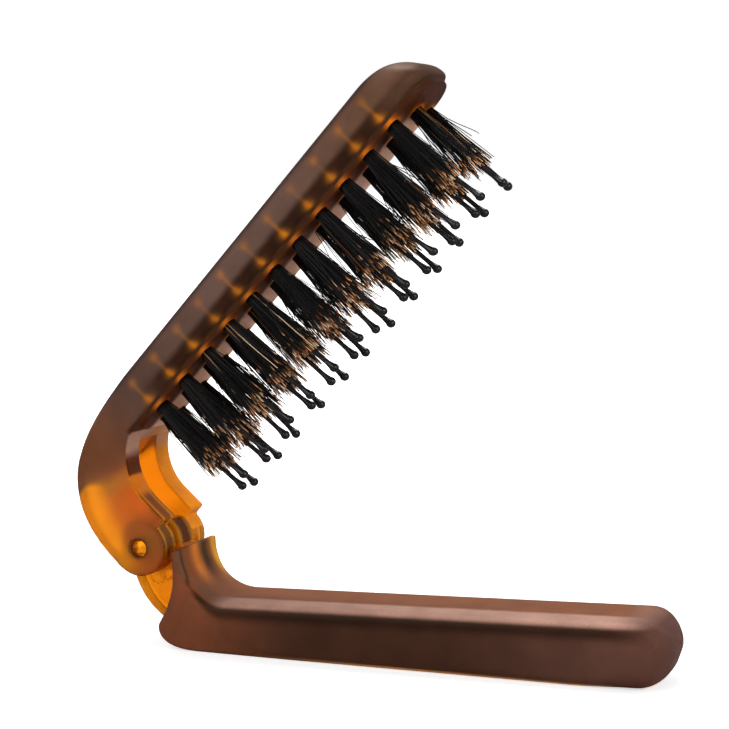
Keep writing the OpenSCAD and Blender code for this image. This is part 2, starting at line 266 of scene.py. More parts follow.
class Grid:
    """A block of points at which a field is worked out."""

    def __init__(self, low, high, step):
        self.low = np.array(low, float)
        self.step = step
        count = np.ceil((np.array(high) - self.low) / step).astype(int) + 1
        x, y, z = (low[i] + step * np.arange(count[i]) for i in range(3))
        self.x, self.y, self.z = x[:, None, None], y[None, :, None], z[None, None, :]

    def slab(self, low, high):
        """Index slices that cover the box from low to high."""
        first = np.maximum(((np.array(low) - self.low) / self.step).astype(int), 0)
        last = ((np.array(high) - self.low) / self.step).astype(int) + 2
        return tuple(slice(a, b) for a, b in zip(first, last))


def skin(grid, field):
    """Points and four-sided faces of the surface on which the field is zero."""
    inside = field < 0
    shape = tuple(n - 1 for n in field.shape)
    corners = list(np.ndindex(2, 2, 2))

    def part(values, corner):
        return values[tuple(slice(c, c + n) for c, n in zip(corner, shape))]

    filled = sum(part(inside, c).astype(np.int8) for c in corners)
    crossed = (filled > 0) & (filled < len(corners))
    number = np.full(shape, -1)
    cells = np.argwhere(crossed)
    number[crossed] = np.arange(len(cells))
    total = np.zeros((len(cells), 3))
    count = np.zeros(len(cells))
    values = {c: part(field, c)[crossed] for c in corners}
    for a in corners:
        for axis in range(3):
            if a[axis]:
                continue
            b = tuple(1 if i == axis else a[i] for i in range(3))
            changes = (values[a] < 0) != (values[b] < 0)
            span = np.where(changes, values[a] - values[b], 1.0)
            point = np.array(a) + (values[a] / span)[:, None] * np.subtract(b, a)
            total[changes] += point[changes]
            count[changes] += 1
    points = grid.low + grid.step * (cells + total / count[:, None])

    faces = []
    for axis in range(3):
        u, v = (axis + 1) % 3, (axis + 2) % 3
        lower = [slice(1, n) for n in shape]
        lower[axis] = slice(0, shape[axis])
        upper = list(lower)
        upper[axis] = slice(1, shape[axis] + 1)
        first, second = inside[tuple(lower)], inside[tuple(upper)]
        edges = np.argwhere(first != second)
        leaving = first[first != second]
        base = edges + np.array([0 if i == axis else 1 for i in range(3)])
        quad = []
        for du, dv in ((1, 1), (0, 1), (0, 0), (1, 0)):
            cell = base.copy()
            cell[:, u] -= du
            cell[:, v] -= dv
            quad.append(number[tuple(cell.T)])
        quad = np.stack(quad, axis=1)
        quad[~leaving] = quad[~leaving][:, ::-1]
        faces.append(quad)
    return points, np.concatenate(faces).tolist()


def settle(grid, field, points, rounds=3):
    """Moves points onto the surface, along the field's slope."""
    slope = np.stack(np.gradient(field, grid.step), axis=-1)
    for _ in range(rounds):
        place = (points - grid.low) / grid.step
        cell = np.clip(place.astype(int), 0, np.array(field.shape) - 2)
        t = place - cell
        value = np.zeros(len(points))
        normal = np.zeros((len(points), 3))
        for corner in np.ndindex(2, 2, 2):
            weight = np.prod(np.where(corner, t, 1 - t), axis=1)
            index = tuple((cell + corner).T)
            value += weight * field[index]
            normal += weight[:, None] * slope[index]
        size = np.maximum((normal ** 2).sum(axis=1), 0.25)
        points = points - (value / size)[:, None] * normal
    return points


def make_object(name, points, faces, matrix):
    """A smooth mesh object from points in millimetres, placed by a matrix in metres."""
    turn, shift = np.array(matrix.to_3x3()), np.array(matrix.translation)
    mesh = bpy.data.meshes.new(name)
    mesh.from_pydata((points * MM @ turn.T + shift).tolist(), [], faces)
    mesh.validate()
    mesh.update()
    mesh.shade_smooth()
    piece = bpy.data.objects.new(name, mesh)
    bpy.context.scene.collection.objects.link(piece)
    return piece


def add_layer(piece, name, amount):
    """Stores one number for each point, for the finish to read."""
    layer = piece.data.attributes.new(name, "FLOAT", "POINT")
    layer.data.foreach_set("value", np.asarray(amount, np.float32))


def add_colours(piece, name, colours):
    """Stores one colour for each point, for the finish to read."""
    layer = piece.data.color_attributes.new(name, "FLOAT_COLOR", "POINT")
    rgba = np.concatenate([colours, np.ones((len(colours), 1))], axis=1)
    layer.data.foreach_set("color", rgba.astype(np.float32).ravel())


def paint(points, base, *coats):
    """The colour of each point: a base, and coats of other colours by their amounts."""
    tone = base * np.ones((len(points), 3))
    for colour, amount in coats:
        tone = tone * (1 - amount[:, None]) + np.array(colour) * amount[:, None]
    return tone


def gather(parts):
    """Points and faces of several forms, as (points, faces) pairs, in one mesh."""
    faces, offset = [], 0
    for part_points, part_faces in parts:
        faces += [tuple(i + offset for i in face) for face in part_faces]
        offset += len(part_points)
    return np.concatenate([part_points for part_points, _ in parts]), faces


# ---- places that come from the frame ----


def in_head(node):
    """A node's points in the head's own frame, in millimetres."""
    mesh = frame["nodes"][node].data
    co = np.zeros(len(mesh.vertices) * 3)
    mesh.vertices.foreach_get("co", co)
    back = HEAD_FRAME.inverted()
    world = co.reshape(-1, 3)
    return (world @ np.array(back.to_3x3()).T + np.array(back.translation)) / MM


def tuft_places(row):
    """Where the row's tufts stand: (x, y) of each on the face."""
    points = in_head(row)
    places = []
    for column in (-1, 0, 1):
        near = points[np.abs(points[:, 1] - column * COLUMN_GAP) < 1.2]
        if len(near):
            x = (near[:, 0].min() + near[:, 0].max()) / 2
            places.append((x, column * COLUMN_GAP))
    return places


# ---- the head's moulding ----


def arm_back():
    """The curve of the arms' back, from the bar round to the ears."""
    return bezier((26, BACK_Z), (6.5, BACK_Z), (-EAR_R, 20), (-EAR_R, 2))


def head_outline():
    """Side view of the head, from the step round by the throat, tip and back."""
    throat_r = LEDGE_Z - THROAT_Z
    tip_r = 1.2
    return np.concatenate([
        [(EAR_R - 0.3, 0), (NECK_FRONT, 0)],
        arc((NECK_FRONT + throat_r, THROAT_Z), throat_r, 180, 90),
        [(HEAD_REACH - 1, LEDGE_Z)],
        arc((HEAD_REACH - tip_r, LEDGE_Z + tip_r), tip_r, -90, 0, 8),
        bezier((HEAD_REACH, LEDGE_Z + tip_r), (HEAD_REACH, 22),
               (HEAD_REACH - 4.6, BACK_Z), (HEAD_REACH - 12, BACK_Z)),
        arm_back(),
        [(-EAR_R, 0)],
    ])


def head_field(g, tufts):
    """The head: arms, ears, ledge and raised face, less slot, bore and tuft holes."""
    hub = np.hypot(g.x, g.z)
    side = join(outline_field(head_outline(), g.x, g.z), hub - EAR_R, 0.3)
    width = plank(g.x, g.y, -BEYOND, HEAD_REACH + 0.8, HALF_WIDTH, 0.5, 7)
    back_r = 0.7 + 2.7 * ramp(g.x, -1, 22)
    front_r = 0.6 + 1.7 * ramp(g.x, 14, 21)
    edge_r = front_r + (back_r - front_r) * ramp(g.z, 19.5, 22.5)
    body = meet(side, width, edge_r)
    face_plan = plank(g.x, g.y, 17, HEAD_REACH - 1.3, HALF_WIDTH - 1.45, 4.8, 6)
    face = meet(face_plan, np.maximum(FACE_Z - g.z, g.z - 20), 0.35)
    body = join(body, face, 0.3)
    slot_end = np.maximum(g.x - SLOT_END, g.z - FACE_Z - 0.1)
    slot_side = np.minimum(hub - SLOT_R, np.maximum(slot_end, -g.x - 1))
    body = cut(body, meet(slot_side, np.abs(g.y) - SLOT_HALF, 0.25), 0.35)
    body = cut(body, hub - PIN_R - PRESS_GAP, 0.18)
    body = body + np.zeros(np.broadcast_shapes(g.x.shape, g.y.shape, g.z.shape))
    around = TUFT_HOLE_R + 0.95
    for x, y in tufts:
        low = (x - around, y - around, FACE_Z - 1)
        high = (x + around, y + around, FACE_Z + TUFT_HOLE_DEPTH + 1.5)
        s = g.slab(low, high)
        gx, gy, gz = g.x[s[0]], g.y[:, s[1]], g.z[:, :, s[2]]
        bore = np.hypot(gx - x, gy - y) - TUFT_HOLE_R
        hole = meet(bore, gz - FACE_Z - TUFT_HOLE_DEPTH, 0.2)
        body[s] = cut(body[s], hole, 0.15)
    return body


def head_polish(points):
    """The slot's walls, the throat, the steps and the ears' rims are polished."""
    x, y, z = points.T
    hub = np.hypot(x, z)
    walls = within(y, SLOT_HALF + 0.25, 0.2) * ramp(SLOT_R + 0.6 - hub, 0, 0.3)
    side = within(y, FLAT_HALF, 0.15)
    throat = side * ramp(x, 5, 5.4) * ramp(hub, 5.9, 6.1) * ramp(17.4 - x, 0, 1)
    throat *= ramp(17.6 - z, 0, 0.3) * ramp(24 - np.hypot(x - 2, z + 4), 0, 1)
    rim = side * ramp(0.25 - np.abs(hub - EAR_R), 0, 0.15) * ramp(x, 1, 2.5)
    return np.maximum(np.maximum(walls, 0.85 * throat), 0.85 * rim)


def ear_middle(x, z):
    """1 in the middle of the ears' sides, fading towards their rims."""
    return ramp(6.8 - np.hypot(x - 3, z), 0, 4)


def bore_edge(x, z):
    """1 on the wall of the bore in the ears and on its edge."""
    return ramp(2.3 - np.hypot(x, z), 0, 0.3)


def head_arms(points):
    """1 on the arms, below the curve where the solid bar ends, and 0 on the bar."""
    x, y, z = points.T
    fall = 2.2 * ramp(x, 0.5, 6)
    far = 3.5 * ramp(y, 3, 6)
    soft = 0.7 + 0.5 * fall
    return ramp(25 + far - fall - np.hypot(x - 0.8, z + 8.5), -soft, soft)


def head_clear(points):
    """How much light goes through: most in the far arm, less in the near, little in the bar."""
    x, y, z = points.T
    walls = head_polish(points) * within(y, SLOT_HALF + 0.3, 0.2)
    throat = within(y, FLAT_HALF, 0.15) * (x > 5) * ramp(17 - z, 0, 0.5)
    arms = 0.56 * head_arms(points) * (1 - 0.8 * throat) * (1 - 0.3 * ear_middle(x, z))
    arms *= 1 + 0.55 * ramp(y, 3, 6)
    arms *= 1 - 0.35 * spot(x - 4.2, z - 6.5, 4) * (y < 0)
    arms *= 1 - 0.9 * bore_edge(x, z) * ramp(0.75 * z - 0.66 * x, -0.6, 0.4)
    near = y < -SLOT_HALF - 0.5
    arms *= 1 - 0.85 * ramp(x, 0.5, 5.5) * ramp(z, 7.5, 12.5) * near
    return np.maximum(np.maximum(arms, walls), 0.12)


def bar_tone(points):
    """Brown bar with painted shade along the tufts, its back edge, the ledge and the face, and a
    painted stripe of light on the face.
    """
    x, y, z = points.T
    dark = 0.97 * ramp(21 - z, 0, 1.7) * ramp(x, 20, 32)
    past_arms = ramp(x, 15.8, 16.6)
    face = past_arms * ramp(FACE_Z + 1 - z, 0, 0.4)
    lit = face * ramp(y, -3.6, -0.6) * (1 - ramp(x, 98, 102))
    return paint(
        points, BAR_BY_ARMS,
        (BAR_LOW, ramp(x, 8, 24)),
        (BAR_MIDDLE, ramp(x, 24, 60)),
        (BAR_HIGH, ramp(x, 65, 104)),
        (BAR_SHADE, dark * (1 - 0.5 * ramp(x, 96, 104))),
        (BAR_TIP, ramp(x, 100, 106) * ramp(z, 20, 23)),
        (BAR_EDGE_SHADE, 0.85 * ramp(z, BACK_Z - 1.9, BACK_Z - 0.7)),
        (LEDGE_SHADE, past_arms * ramp(LEDGE_Z + 0.5 - z, 0, 0.4)),
        (FACE_SHADE, face),
        (FACE_LIT, lit * ramp(FACE_Z + 0.3 - z, 0, 0.25)))


def tuft_light(points, tufts):
    """Coats of light round each tuft, and over its hole on the side of the bar."""
    x, y, z = points.T
    pick = random.Random(3)
    side = ramp(np.abs(y), 8.6, 9.3)
    face = ramp(FACE_Z + 1 - z, 0, 0.4)
    top, low = FACE_Z + TUFT_HOLE_DEPTH - 0.2, FACE_Z + 2
    for tx, ty in tufts:
        collar_glow = face * spot((x - tx - 0.4) / 1.25, (y - 1.05 * ty) / 2, 1)
        yield TUFT_COLLAR_GLOW, np.minimum((1.7 if tx > 98 else 1.2) * collar_glow, 0.9)
        if ty == 0:
            continue
        shift = x - tx - pick.uniform(-0.25, 0.25)
        streak = spot(shift, 0, 0.42) * ramp(z, low, low + 1) * ramp(top - z, 0, 1.5)
        glow = pick.uniform(0.1, 0.3) * streak
        glow += pick.uniform(0.2, 0.42) * spot(shift, z - top, 0.85)
        glow += pick.uniform(0.4, 0.6) * spot(shift, (z - low) / 1.5, 0.65)
        glow += pick.uniform(0.2, 0.4) * spot(shift / 1.3, (z - low + 0.3) / 1.2, 1)
        glow += pick.uniform(0.6, 0.8) * spot(shift / 1.6, z - FACE_Z - 0.9, 0.5)
        yield TUFT_GLOW, side * (y * ty > 0) * np.minimum(glow, 0.9)


def arm_tone(points):
    """Arms with a painted glow towards their backs, and painted shade on the ears, their rims
    and the bores.
    """
    x, _, z = points.T
    hub = np.hypot(x, z)
    depth = np.sqrt(np.min([(x - u) ** 2 + (z - v) ** 2 for u, v in arm_back()], axis=0))
    return paint(
        points, ARM_BACK_GLOW,
        (ARM_INSIDE, ramp(depth, 1.8, 7.5)),
        (EAR_SHADE, 0.8 * ear_middle(x, z)),
        (EAR_RIM_SHADE, 0.5 * ramp(hub, 4.9, 5.6) * ramp(5 - z, 0, 6)),
        (BORE_EDGE_SHADE, 0.6 * ramp(3 - hub, 0, 1.3)),
        (BORE_SHADE, 0.9 * bore_edge(x, z)))


def throat_tone(points):
    """Faces between the arms' edges: the steps, and the throat above them, with painted lines of
    reflected light, a painted band of shade, a far side painted brighter as if lit from behind,
    and a painted pale reflection at the top.
    """
    _, y, z = points.T
    lines = spot(np.abs(y) - 8.7, 0, 0.35) + spot(np.abs(y) - 5, 0, 0.45)
    return paint(
        points, STEP,
        (THROAT_LOW, ramp(z, 6, 8)),
        (THROAT_LIGHT_LINES, 0.8 * lines * ramp(9.5 - z, 0, 2)),
        (THROAT_SHADE, ramp(z, 10.8, 11.4)),
        (THROAT_FAR_LIT, 0.9 * (y > 0)),
        (THROAT_TOP_REFLECTION, ramp(z, 13.6, 15.2) * (1 - 0.4 * (y > 0))))


def head_tone(points, tufts):
    """Colours of the head: its bar, its arms, and the faces between them."""
    x, y, z = points.T
    inner = within(y, FLAT_HALF, 0.15) * ramp(17.5 - x, 0, 1)
    inner = inner * (x > 1.5) * (np.hypot(x, z) > 5.35) * (z < 16.6)
    return paint(points, bar_tone(points), *tuft_light(points, tufts),
                 (arm_tone(points), head_arms(points)), (throat_tone(points), inner))


# ---- the handle's moulding ----


def handle_outline():
    """Side view of the handle: lip, back of the neck, foot, free end, top, neck."""
    start = NECK_FRONT + NECK_R
    top_r, under_r = 7.2, 7
    both_r = NECK_R + top_r
    slope = math.atan((HANDLE_END_T - HANDLE_NECK_T) / (HANDLE_REACH - top_r - start))
    sine, cosine = math.sin(slope), math.cos(slope)
    run = (HANDLE_REACH - top_r - start - both_r * sine) / cosine
    end = (start + both_r * sine + run * cosine, HINGE_Z - both_r * cosine + run * sine)
    degrees = math.degrees(slope)
    lip = HINGE_Z - SHUT_GAP
    heel = (4.1, FOOT_Z)
    return np.concatenate([
        bezier((NECK_FRONT - LIP_T, lip), (NECK_FRONT - 0.6, 11.5), (4.7, 7), heel),
        bezier(heel, (4.1, 1.7), (6.7, 0), (13, 0)),
        arc((HANDLE_REACH - under_r, under_r), under_r, -90, 0),
        arc(end, top_r, 0, 90 + degrees),
        arc((start, HINGE_Z), NECK_R, 270 + degrees, 180, 48),
        [(NECK_FRONT, lip)],
    ])


def tongue_outline():
    """Side view of the tongue that carries the barrel."""
    front, top = NECK_FRONT - LIP_T / 2, HINGE_Z - SHUT_GAP
    back = arc((10.5, HINGE_Z - 2.3), 15.3, 181, 244)
    return np.concatenate([[(front, top), (0, top)], back, [(front, FOOT_Z)]])


def tongue_field(g):
    """The tongue and its barrel."""
    hub = np.hypot(g.x, g.z - HINGE_Z)
    side = join(outline_field(tongue_outline(), g.x, g.z), hub - BARREL_R, 0.2)
    return meet(side, np.abs(g.y) - TONGUE_HALF, 0.3)


def handle_field(g):
    """The handle: bar, neck and tongue, less the bore, mirror recess and pocket."""
    side = outline_field(handle_outline(), g.x, g.z)
    bulge = 0.2 * np.minimum((g.z - 6.8) / 6, 1) ** 2
    width = plank(g.x, g.y, -BEYOND, HANDLE_REACH + 0.9, HALF_WIDTH, 0.5, 8.6) + bulge
    under_r = 0.7 + 1.3 * ramp(g.x, 20, 95)
    under_r = under_r + 2.2 * ramp(g.x, HANDLE_REACH - 20, HANDLE_REACH - 6)
    edge_r = under_r + (2.4 - under_r) * ramp(g.z, 4, 8) - 2 * ramp(g.z, 10.5, 20)
    body = meet(side, width, edge_r)
    gate = np.sqrt((g.x - HANDLE_REACH + 0.72) ** 2 + g.y ** 2 + (g.z - 8.2) ** 2) - 0.7
    body = join(body, gate, 0.1)
    body = join(body, tongue_field(g), 0.3)
    body = cut(body, np.hypot(g.x, g.z - HINGE_Z) - PIN_R - RUNNING_GAP, 0.15)
    low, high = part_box("mirror")
    x0, x1 = (low.x - PIVOT.x) / MM, (high.x - PIVOT.x) / MM
    half = high.y / MM
    pad_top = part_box("mirror_pad")[1].z / MM
    gap, corner = MIRROR_GAP, MIRROR_CORNER_R + MIRROR_GAP
    recess = plank(g.x, g.y, x0 - gap, x1 + gap, half + gap, corner, corner)
    body = cut(body, meet(recess, g.z - pad_top, 0.1), 0.25)
    pocket = plank(g.x, g.y, x0 + PAD_RIM, x1 - PAD_RIM, half - PAD_RIM,
                   POCKET_CORNER_R, POCKET_CORNER_R)
    return cut(body, meet(pocket, g.z - HANDLE_NECK_T + POCKET_ROOF_T, 0.8), 0.3)


def handle_polish(points):
    """The sides of the tongue are polished inside a frosted band, and the barrel too."""
    x, y, z = points.T
    depth = -outline_field(tongue_outline(), x, z)
    slim = within(y, TONGUE_HALF + 0.2, 0.15)
    sides = slim * ramp(np.abs(y), 2.9, 3.2) * ramp(depth, 0.6, 1)
    barrel = slim * ramp(BARREL_R + 0.9 - np.hypot(x, z - HINGE_Z), 0, 0.3)
    return np.maximum(sides, barrel)


def on_tongue(x, y):
    """1 on the tongue and its barrel, up to where they enter the neck."""
    return within(y, TONGUE_HALF + 0.2, 0.15) * ramp(NECK_FRONT - 0.6 - x, 0, 0.5)


def mark_ring(x, z):
    """1 on the ring that an ejector pin leaves on the side of the tongue."""
    return spot(np.hypot(x - 1.1, z - 13.6) - 1.6, 0, 0.17)


def handle_clear(points):
    """How much light goes through: most in the tongue, little in the rest."""
    x, y, z = points.T
    tongue = on_tongue(x, y)
    barrel = tongue * ramp(BARREL_R + 0.5 - np.hypot(x, z - HINGE_Z), 0, 0.3)
    tongue = tongue * (1 - 0.75 * (1 - barrel) * mark_ring(x, z))
    return np.maximum(tongue * ramp(z, 4, 6) * (0.75 - 0.35 * barrel), 0.07)


def top_distance(x, z):
    """Distance from the line along the bar's top and up the front of the neck."""
    bend = arc((NECK_FRONT + NECK_R, HINGE_Z), NECK_R, 180, 270, 30)
    path = np.concatenate([bend, [(HANDLE_REACH, HANDLE_END_T)]])
    return np.abs(outline_field(np.concatenate([path, path[::-1]]), x, z))


def grip_tone(points, fall):
    """Deep brown bar, with a painted highlight along its top edge, painted shade below that, and
    the far part of the top painted lighter as if lit from above.
    """
    x, y, z = points.T
    wide = 0.16 + 0.84 * ramp(x, 9.5, 19)
    along = ramp(z, 5, 6) * ramp(HANDLE_REACH - 2 - x, 0, 10)
    shade = along * ramp(x, 9.5, 13) * ramp(4.2 * wide - fall, 0, 2.4 * wide)
    # Where the painted highlight lies, along the top edge.
    edge = along * ramp(1.2 * wide - fall, 0, 0.8 * wide)
    return paint(
        points, NECK_SIDE,
        (HANDLE_MIDDLE, ramp(x, 12, 34)),
        (HANDLE_END, ramp(x, 62, 100)),
        (HANDLE_SHADE, 0.88 * shade),
        (TOP_HIGHLIGHT, edge * ramp(x, 13, 19)),
        (NECK_HIGHLIGHT, edge * ramp(19 - x, 0, 6)),
        (TOP_FACE_LIT, edge * ramp(y, -4.4, -2.2)))


def neck_light(points, fall):
    """Coats of painted light through the front of the neck, with a patch of painted shade, and a
    painted line of shade along its near edge.
    """
    x, y, z = points.T
    inset = y + 10 - 2.6 * ramp(z, 11.5, 16)
    front = within(y, 9.5, 0.4) * ramp(x, NECK_FRONT - 0.6, NECK_FRONT)
    front = front * ramp(z, 11, 16) * ramp(20 - x, 0, 4) * ramp(inset, 0, 0.6)
    light_streaks = paint(
        points, NECK_FACE,
        (NECK_ORANGE_GLOW, spot(y + 0.8, 0, 2)),
        (NECK_SHADE, spot(y - 3.4, 0, 1.7)),
        (NECK_YELLOW_GLOW, ramp(y, 5.6, 8)))
    edge_shade = spot(inset, 0, 0.5) * ramp(0.7 - fall, 0, 0.4) * ramp(19 - x, 0, 5)
    return (light_streaks, front), (NECK_EDGE_SHADE, 0.85 * edge_shade)


def tongue_tone(points):
    """Orange tongue with its ejector mark, and a barrel with a painted band of shade and a
    painted highlight line.
    """
    x, y, z = points.T
    barrel = ramp(BARREL_R + 0.4 - np.hypot(x, z - HINGE_Z), 0, 0.4)
    return paint(
        points, TONGUE,
        (BARREL, barrel),
        (BARREL_SHADE, np.minimum(1.3 * spot(y + 0.2, 0, 2.2), 1) * barrel),
        (BARREL_HIGHLIGHT, 0.8 * spot(y + 2.7, 0, 0.3) * barrel),
        (EJECTOR_MARK, 0.8 * mark_ring(x, z) * (1 - barrel)))


def handle_tone(points):
    """Colours of the handle: its bar, neck and tongue, and a painted glow along the rim of its
    underside.
    """
    x, y, z = points.T
    fall = top_distance(x, z)
    rim = ramp(np.maximum(np.abs(y) - HALF_WIDTH, x - HANDLE_REACH + 4), -2.4, -1.2)
    rim = rim * ramp(0.8 - z, 0, 0.45) * ramp(x, 20, 60)
    return paint(points, grip_tone(points, fall), *neck_light(points, fall),
                 (tongue_tone(points), on_tongue(x, y) * ramp(z, 4, 6.5)),
                 (UNDER_RIM_GLOW, 0.9 * rim))


# ---- finishes ----

POLYMER_IOR = 1.49


def grey(level):
    """A colour without a hue."""
    return (level, level, level)


class Tree:
    """A finish's node tree, and short ways to add to it."""

    def __init__(self, owner):
        owner.use_nodes = True
        self.nodes = owner.node_tree.nodes
        self.links = owner.node_tree.links

    def feed(self, node, inputs):
        """Sets inputs to constants, or links them to other nodes' outputs."""
        for name, value in inputs.items():
            if isinstance(value, bpy.types.NodeSocket):
                self.links.new(value, node.inputs[name])
            else:
                node.inputs[name].default_value = value

    def add(self, kind, output, inputs=None, **settings):
        """Adds a node, sets it up, feeds it, and returns one of its outputs."""
        node = self.nodes.new(kind)
        for name, value in settings.items():
            setattr(node, name, value)
        self.feed(node, inputs or {})
        return node.outputs[output]

    def maths(self, operation, a, b, clamp=False):
        """Two values added, subtracted or multiplied."""
        return self.add("ShaderNodeMath", 0, {0: a, 1: b}, operation=operation, use_clamp=clamp)

    def stored(self, name, output="Fac"):
        """What the mesh stores for each point under a name."""
        return self.add("ShaderNodeAttribute", output, attribute_name=name)

    def axis(self, place, name):
        """One coordinate of a place."""
        return self.add("ShaderNodeSeparateXYZ", name, {0: place})

    def noise(self, scale, detail=2.0, roughness=0.5):
        """Noise in the object's own coordinates, its scale per metre."""
        place = self.add("ShaderNodeTexCoord", "Object")
        return self.add("ShaderNodeTexNoise", "Fac", {
            "Vector": place, "Scale": scale, "Detail": detail, "Roughness": roughness})

    def stretch(self, value, span, to):
        """A value moved from one range to another, and held inside it."""
        return self.add("ShaderNodeMapRange", "Result", {
            "Value": value, "From Min": span[0], "From Max": span[1],
            "To Min": to[0], "To Max": to[1]})

    def colours(self, value, span, pair):
        """A pair of colours, blended over a range of the value."""
        node = self.nodes.new("ShaderNodeValToRGB")
        for stop, position, colour in zip(node.color_ramp.elements, span, pair):
            stop.position = position
            stop.color = (*colour, 1.0)
        self.feed(node, {"Fac": value})
        return node.outputs["Color"]

    def product(self, a, b):
        """Two colours multiplied."""
        return self.add("ShaderNodeMix", "Result", {"Factor": 1.0, "A": a, "B": b},
                        data_type="RGBA", blend_type="MULTIPLY")

    def bump(self, height, distance, strength):
        """Relief from a height, its distance in metres."""
        return self.add("ShaderNodeBump", "Normal", {
            "Distance": distance, "Strength": strength, "Height": height})


def new_material(name):
    """A material, its tree, and the shader in it."""
    material = bpy.data.materials.new(name)
    tree = Tree(material)
    return material, tree, tree.nodes["Principled BSDF"]


def amber_material(settings):
    """Amber polymer: clear where the part is open to the light, and deep brown elsewhere."""
    _, tree, clear = new_material("Amber Polymer")
    frost = tree.noise(3600.0, 3.0, 0.65)
    polish = tree.stored("polish")
    rough = tree.stretch(polish, (0.0, 1.0),
                         (settings.frosted_roughness, settings.polished_roughness))
    grain = tree.stretch(frost, (0.3, 0.7), (-0.05, 0.05))
    relief = tree.stretch(polish, (0.0, 1.0), (0.5, 0.0))
    surface = {"Roughness": tree.maths("ADD", grain, rough, clamp=True),
               "Normal": tree.bump(frost, 0.00004, relief)}
    tree.feed(clear, {"Base Color": (*settings.amber_tint, 1.0), "IOR": POLYMER_IOR,
                      "Transmission Weight": 1.0, "Specular IOR Level": 0.2,
                      "Specular Tint": (1.0, 0.6, 0.3, 1.0), **surface})

    mottle = tree.colours(tree.noise(160.0, 3.0), (0.3, 0.7), (grey(1.0), grey(0.74)))
    speckle = tree.colours(frost, (0.3, 0.7), (grey(0.84), grey(1.16)))
    mottle = tree.product(mottle, speckle)
    deep = tree.add("ShaderNodeBsdfPrincipled", 0, {
        "Base Color": tree.product(tree.stored("tone", "Color"), mottle),
        "Specular IOR Level": 0.2, "Specular Tint": (1.0, 0.75, 0.55, 1.0), **surface})
    tree.feed(tree.nodes["Material Output"], {
        "Surface": tree.add("ShaderNodeMixShader", 0, {
            0: tree.stored("clear"), 1: deep, 2: clear.outputs[0]}),
        "Volume": tree.add("ShaderNodeVolumeAbsorption", "Volume", {
            "Color": (*settings.absorbed_colour, 1.0), "Density": settings.absorption})})


def amber_pin_material():
    """Polished amber rod, a little cloudy inside, and shaded on the side of the arms."""
    material, tree, shader = new_material("Amber Pin")
    cloud = tree.noise(700.0)
    place = tree.add("ShaderNodeTexCoord", "Object")
    side = tree.stretch(tree.axis(place, "X"), (PIVOT.x - 0.0007, PIVOT.x), (0.0, 1.0))
    shade = tree.colours(side, (0.0, 1.0), ((0.12, 0.06, 0.02), grey(1.0)))
    amber = tree.colours(cloud, (0.36, 0.5), ((0.2, 0.04, 0.0), (0.9, 0.27, 0.0)))
    tree.feed(shader, {"Base Color": tree.product(amber, shade), "Roughness": 0.12,
                       "IOR": POLYMER_IOR, "Transmission Weight": 1.0,
                       "Specular IOR Level": 0.2, "Normal": tree.bump(cloud, 0.0001, 0.3)})
    return material


def bristle_material():
    """Boar bristle: near black, with brown and pale hairs that lighten to the tip, in their own
    colour and with a painted glow of light through the tips.
    """
    _, tree, shader = new_material("Boar Bristle")
    streak = tree.noise(3000.0)
    shade = tree.colours(streak, (0.25, 0.75), (grey(0.65), grey(1.0)))
    tree.feed(shader, {"Base Color": tree.product(tree.stored("hair_colour", "Color"), shade),
                       "Roughness": tree.stretch(streak, (0.3, 0.7), (0.32, 0.48)),
                       "Specular IOR Level": 0.25})


# Finishes that follow one noise: its scale, the part of its range that counts, the
# colours and the roughness over that part, and the relief or the share of metal.
GRAINED = {
    # Glossy black nylon, with faint flow marks along the pin.
    "Black Nylon": (900.0, (0.3, 0.7), ((0.006, 0.006, 0.007), (0.014, 0.014, 0.016)),
                    (0.18, 0.3), {"relief": (0.00003, 0.4)}),
    # Silvered glass, with the faintest waviness.
    "Mirror Glass": (60.0, (0.0, 1.0), ((0.86, 0.88, 0.88), (0.92, 0.93, 0.93)),
                     (0.02, 0.05), {"Metallic": 1.0}),
    # Closed-cell foam tape.
    "Foam Tape": (3500.0, (0.3, 0.7), ((0.03, 0.03, 0.032), (0.07, 0.07, 0.072)),
                  0.85, {"relief": (0.0001, 0.6)}),
    # Plain drawn steel strip.
    "Anchor Wire": (2500.0, (0.3, 0.7), ((0.5, 0.5, 0.52), (0.7, 0.7, 0.72)),
                    (0.25, 0.4), {"Metallic": 1.0}),
}

# Finishes that CAD nodes wear as they are.
CAD_FINISHES = {"mirror": "Mirror Glass", "mirror_pad": "Foam Tape",
                "tuft_anchors": "Anchor Wire"}


def grained_material(name):
    """A finish from the table, whose colour, roughness and relief follow one noise."""
    scale, span, pair, roughness, more = GRAINED[name]
    material, tree, shader = new_material(name)
    grain = tree.noise(scale)
    inputs = dict(more)
    if "relief" in inputs:
        inputs["Normal"] = tree.bump(grain, *inputs.pop("relief"))
    if isinstance(roughness, tuple):
        roughness = tree.stretch(grain, span, roughness)
    tree.feed(shader, {"Base Color": tree.colours(grain, span, pair),
                       "Roughness": roughness, **inputs})
    return material


def dress(piece, material):
    """Gives a piece or a node one material."""
    piece.data.materials.clear()
    piece.data.materials.append(material)


# ---- what a user would change ----


